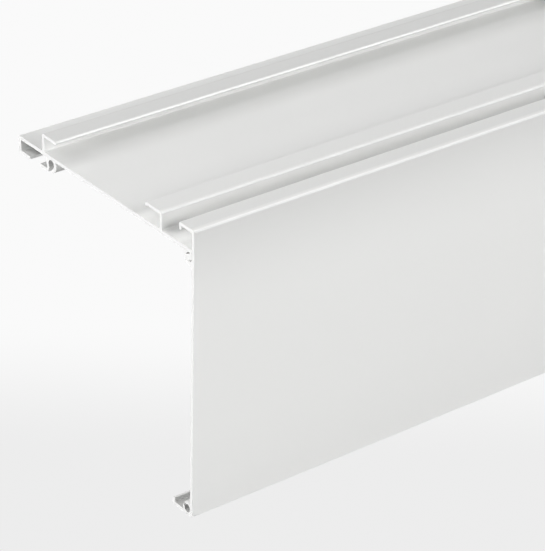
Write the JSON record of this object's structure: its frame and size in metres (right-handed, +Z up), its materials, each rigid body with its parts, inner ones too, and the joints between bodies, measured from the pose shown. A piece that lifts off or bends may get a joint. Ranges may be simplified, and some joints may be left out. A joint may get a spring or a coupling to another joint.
{
  "type": "blind pelmet",
  "caption": "L-shaped white aluminium pelmet: a flat top plate with ceiling rails and a rear T-slot, a deep plain fascia hooked to its front edge, sprung ceiling brackets and a side panel.",
  "frame": {"origin": "centre of the four slotted ceiling-screw holes of the two brackets, on the ceiling plane (the top of the brackets and of the fascia lip; the rail tops are 0.87 mm lower)", "axes": "+X along the pelmet towards the end panel, -Y out of the fascia's front face into the room, +Y towards the wall, +Z up into the ceiling"},
  "size_m": [0.9049, 0.112, 0.12],
  "materials": {
    "powder_coat": "satin white powder coat",
    "white_plastic": "fine matt moulded white",
    "galvanised_steel": "zinc-coated sheet",
    "zinc_steel": "bright zinc plate",
    "spring_steel": "drawn spring wire"
  },
  "bodies": {
    "ceiling_brackets": {"bracket_left": "galvanised_steel", "bracket_right": "galvanised_steel", "latch_rivets_left": "zinc_steel", "latch_rivets_right": "zinc_steel", "latch_spring_left": "spring_steel", "latch_spring_right": "spring_steel"},
    "pelmet": {"top_plate": "powder_coat", "fascia": "powder_coat", "end_cap": "white_plastic", "end_cap_screw": "zinc_steel"},
    "latch_left": {"latch_left": "galvanised_steel"},
    "latch_right": {"latch_right": "galvanised_steel"},
    "slot_nut_left": {"slot_nut_left": "zinc_steel", "slot_screw_left": "zinc_steel", "slot_washer_left": "zinc_steel"},
    "slot_nut_right": {"slot_nut_right": "zinc_steel", "slot_screw_right": "zinc_steel", "slot_washer_right": "zinc_steel"}
  },
  "joints": [
    {"name": "pelmet_slide", "type": "slide", "parent": "ceiling_brackets", "child": "pelmet", "axis": [1, 0, 0], "range_m": [-0.2, 0.2]},
    {"name": "latch_left_slide", "type": "slide", "parent": "ceiling_brackets", "child": "latch_left", "axis": [0, 1, 0], "range_m": [-0.009, 0], "stiffness_N_per_m": 800, "springref_m": 0.01, "deforming": ["latch_spring_left"]},
    {"name": "latch_right_slide", "type": "slide", "parent": "ceiling_brackets", "child": "latch_right", "axis": [0, 1, 0], "range_m": [-0.009, 0], "stiffness_N_per_m": 800, "springref_m": 0.01, "deforming": ["latch_spring_right"]},
    {"name": "slot_nut_left_slide", "type": "slide", "parent": "pelmet", "child": "slot_nut_left", "axis": [1, 0, 0], "range_m": [-0.04, 0.38]},
    {"name": "slot_nut_right_slide", "type": "slide", "parent": "pelmet", "child": "slot_nut_right", "axis": [1, 0, 0], "range_m": [-0.38, 0.04]}
  ]
}
